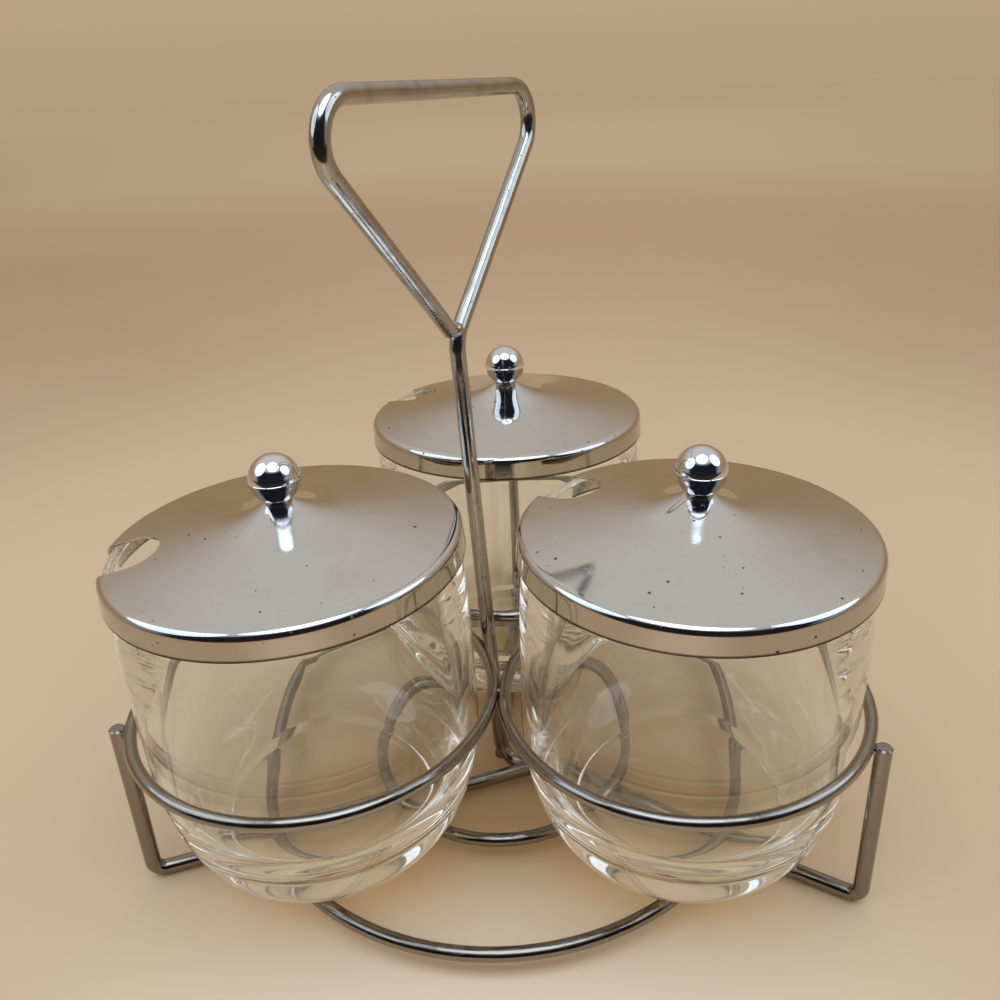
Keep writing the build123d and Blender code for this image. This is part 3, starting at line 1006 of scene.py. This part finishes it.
# Stage: a wide flat floor whose colour holds painted shade and painted light, standing in for the shading of a paper
# sweep away from the object, and a plain world
stage = {
    "size": 9.0,
    "roughness": 0.6,
    "gloss": 0.15,
    "floorColour": (0.605, 0.486, 0.350),
    "deepColour": (0.52, 0.41, 0.30),
    "deepMiddle": (0.585, 0.475, 0.345),
    "farColour": (0.72, 0.65, 0.535),
    "farSide": (0.61, 0.525, 0.42),
    "lastColour": (0.67, 0.592, 0.47),
    "frontColour": (0.80, 0.685, 0.54),
    "sideStretch": 1.5,
    "deepRange": (0.36, 0.66),
    "farRange": (0.85, 2.3),
    "lastRange": (3.0, 6.0),
    "deepSides": (0.08, 0.7),
    "farSides": (0.1, 0.9),
    "nearest": 0.1,
    "frontDepth": (-0.055, -0.02),
    "frontWidth": (0.02, 0.14),
    "mottleScale": 14.0,
    "mottleRange": (0.3, 0.7),
    "mottleShare": 0.04,
    "mottleColour": (0.7, 0.58, 0.44),
    "paperEdge": (-0.37, -0.31),
    "edgeColour": (0.03, 0.025, 0.025),
}


def makeFloor():
    half = stage["size"]
    corners = [(-half, -half, 0), (half, -half, 0), (half, half, 0), (-half, half, 0)]
    mesh = bpy.data.meshes.new("floor")
    mesh.from_pydata(corners, [], [(0, 1, 2, 3)])
    floor = bpy.data.objects.new("floor", mesh)
    bpy.context.scene.collection.objects.link(floor)
    material, tree, shader, place = startMaterial("paperFloor", stage["floorColour"], 0.0, stage["roughness"])
    shader.inputs["Specular IOR Level"].default_value = stage["gloss"]
    parts = addNode(tree, "ShaderNodeSeparateXYZ", {0: place}).outputs
    across = mathNode(tree, "ABSOLUTE", parts["X"])
    squeeze = {0: place, 1: (stage["sideStretch"], 1.0, 1.0)}
    flat = addNode(tree, "ShaderNodeVectorMath", squeeze, operation="MULTIPLY").outputs[0]
    away = addNode(tree, "ShaderNodeVectorMath", {0: flat}, operation="LENGTH").outputs["Value"]
    aside = mathNode(tree, "DIVIDE", across, mathNode(tree, "MAXIMUM", parts["Y"], stage["nearest"]))
    # Painted shade deepens the colour behind the object and darkens it to the sides, and painted light makes it pale
    # far away
    deeper = mixNode(tree, fadeNode(tree, aside, *stage["deepSides"]), stage["deepMiddle"], stage["deepColour"])
    near = mixNode(tree, fadeNode(tree, away, *stage["deepRange"]), stage["floorColour"], deeper)
    farther = mixNode(tree, fadeNode(tree, aside, *stage["farSides"]), stage["farColour"], stage["farSide"])
    far = mixNode(tree, fadeNode(tree, away, *stage["farRange"]), near, farther)
    behind = mixNode(tree, fadeNode(tree, away, *stage["lastRange"]), far, stage["lastColour"])
    # Painted light: a paler patch of floor just in front of the object
    frontDepth = fadeNode(tree, parts["Y"], *stage["frontDepth"], 1.0, 0.0)
    frontWidth = fadeNode(tree, across, *stage["frontWidth"], 1.0, 0.0)
    colour = mixNode(tree, mathNode(tree, "MULTIPLY", frontDepth, frontWidth), behind, stage["frontColour"])
    cloud = noiseNode(tree, place, stage["mottleScale"], 3.0)
    mottle = fadeNode(tree, cloud, *stage["mottleRange"], 0.0, stage["mottleShare"])
    paper = mixNode(tree, mottle, colour, stage["mottleColour"])
    # Painted reflection: past a line in front of the object the floor is dark only for rays mirrored off metal, while
    # the eye still sees paper
    beyond = fadeNode(tree, parts["Y"], *stage["paperEdge"], 1.0, 0.0)
    rays = addNode(tree, "ShaderNodeLightPath").outputs
    mirrored = mathNode(tree, "GREATER_THAN", rays["Is Glossy Ray"], rays["Is Transmission Ray"])
    seen = mathNode(tree, "MULTIPLY", beyond, mirrored)
    tree.links.new(mixNode(tree, seen, paper, stage["edgeColour"]), shader.inputs["Base Color"])
    mesh.materials.append(material)


makeFloor()

# World: what the eye and the glass see is the plain sweep; metal sees a light tent with a dark opening in front
tent = {
    "horizon": (0.462, 0.335, 0.211),
    "sky": (0.505, 0.37, 0.237),
    "skyRise": (0.0, 0.1),
    "backLow": (0.37, 0.25, 0.14),
    "backHigh": (0.66, 0.645, 0.625),
    "backRise": (0.12, 0.80),
    "sideColour": (0.30, 0.33, 0.38),
    "topColour": (0.50, 0.52, 0.55),
    "topRise": (0.5, 0.95),
    "openingColour": (0.012, 0.014, 0.022),
    "openingWidth": (0.80, 0.96),
    "openingHeight": (0.66, 0.78),
    "frontToBack": (-0.25, 0.15),
    "ambient": (0.68, 0.54, 0.40),
}


def makeWorld():
    world = bpy.data.worlds.new("tent")
    bpy.context.scene.world = world
    world.use_nodes = True
    tree = world.node_tree
    background = tree.nodes["Background"]
    direction = addNode(tree, "ShaderNodeTexCoord").outputs["Generated"]
    parts = addNode(tree, "ShaderNodeSeparateXYZ", {0: direction}).outputs
    up = parts["Z"]
    backdrop = mixNode(tree, fadeNode(tree, up, *tent["skyRise"]), tent["horizon"], tent["sky"])
    back = mixNode(tree, fadeNode(tree, up, *tent["backRise"]), tent["backLow"], tent["backHigh"])
    sideWall = mixNode(tree, fadeNode(tree, up, *tent["topRise"]), tent["sideColour"], tent["topColour"])
    openAcross = fadeNode(tree, mathNode(tree, "ABSOLUTE", parts["X"]), *tent["openingWidth"], 1.0, 0.0)
    openUp = fadeNode(tree, up, *tent["openingHeight"], 1.0, 0.0)
    front = mixNode(tree, mathNode(tree, "MULTIPLY", openAcross, openUp), sideWall, tent["openingColour"])
    mirrored = mixNode(tree, fadeNode(tree, parts["Y"], *tent["frontToBack"]), front, back)
    rays = addNode(tree, "ShaderNodeLightPath").outputs
    direct = mathNode(tree, "MAXIMUM", rays["Is Camera Ray"], rays["Is Transmission Ray"])
    lit = mixNode(tree, rays["Is Glossy Ray"], tent["ambient"], mirrored)
    tree.links.new(mixNode(tree, direct, lit, backdrop), background.inputs["Color"])


makeWorld()

# Lamps: one soft disc overhead in front and one on each side
lampColour = (0.66, 0.83, 1.0)
lampAim = Vector((0, 0, 0.06))
lamps = {
    "top": {"place": (0.02, -0.255, 0.915), "size": 0.70, "power": 3.2},
    "left": {"place": (-0.49, -0.15, 0.52), "size": 0.54, "power": 1.2},
    "right": {"place": (0.56, -0.075, 0.57), "size": 0.54, "power": 1.2},
}
for name, lamp in lamps.items():
    light = bpy.data.lights.new("lamp_" + name, "AREA")
    light.shape = "DISK"
    light.size = lamp["size"]
    light.energy = lamp["power"]
    light.color = lampColour
    holder = bpy.data.objects.new("lamp_" + name, light)
    holder.location = lamp["place"]
    holder.rotation_euler = (lampAim - holder.location).to_track_quat("-Z", "Y").to_euler()
    holder.visible_camera = False
    bpy.context.scene.collection.objects.link(holder)

# Camera: the photograph's place and angles, with the small shift of its crop
view = {
    "place": Vector((18.68, -232.572, 206.633)) * mm,
    "yaw": radians(-2.558),
    "pitch": radians(24.753),
    "roll": radians(2.071),
    "lens": 33.11,
    "shift": (-0.0264, -0.0092),
    "clip": (0.01, 30),
    "lightTurns": 96,
}
camera = bpy.data.cameras.new("camera")
camera.lens = view["lens"]
camera.shift_x, camera.shift_y = view["shift"]
camera.clip_start, camera.clip_end = view["clip"]
cameraHolder = bpy.data.objects.new("camera", camera)
ahead = Vector((sin(view["yaw"]) * cos(view["pitch"]), cos(view["yaw"]) * cos(view["pitch"]), -sin(view["pitch"])))
levelRight = Vector((cos(view["yaw"]), -sin(view["yaw"]), 0))
levelDown = ahead.cross(levelRight)
rolledRight = levelRight * cos(view["roll"]) + levelDown * sin(view["roll"])
rolledDown = levelDown * cos(view["roll"]) - levelRight * sin(view["roll"])
axes = Matrix((rolledRight, -rolledDown, -ahead)).transposed()
cameraHolder.matrix_world = Matrix.Translation(view["place"]) @ axes.to_4x4()
bpy.context.scene.collection.objects.link(cameraHolder)
bpy.context.scene.camera = cameraHolder
bpy.context.scene.view_settings.view_transform = "Standard"
# Light turns back many times inside the thick glass
paths = bpy.context.scene.cycles
paths.max_bounces = paths.glossy_bounces = paths.transmission_bounces = view["lightTurns"]
print("stage, lamps and camera set")
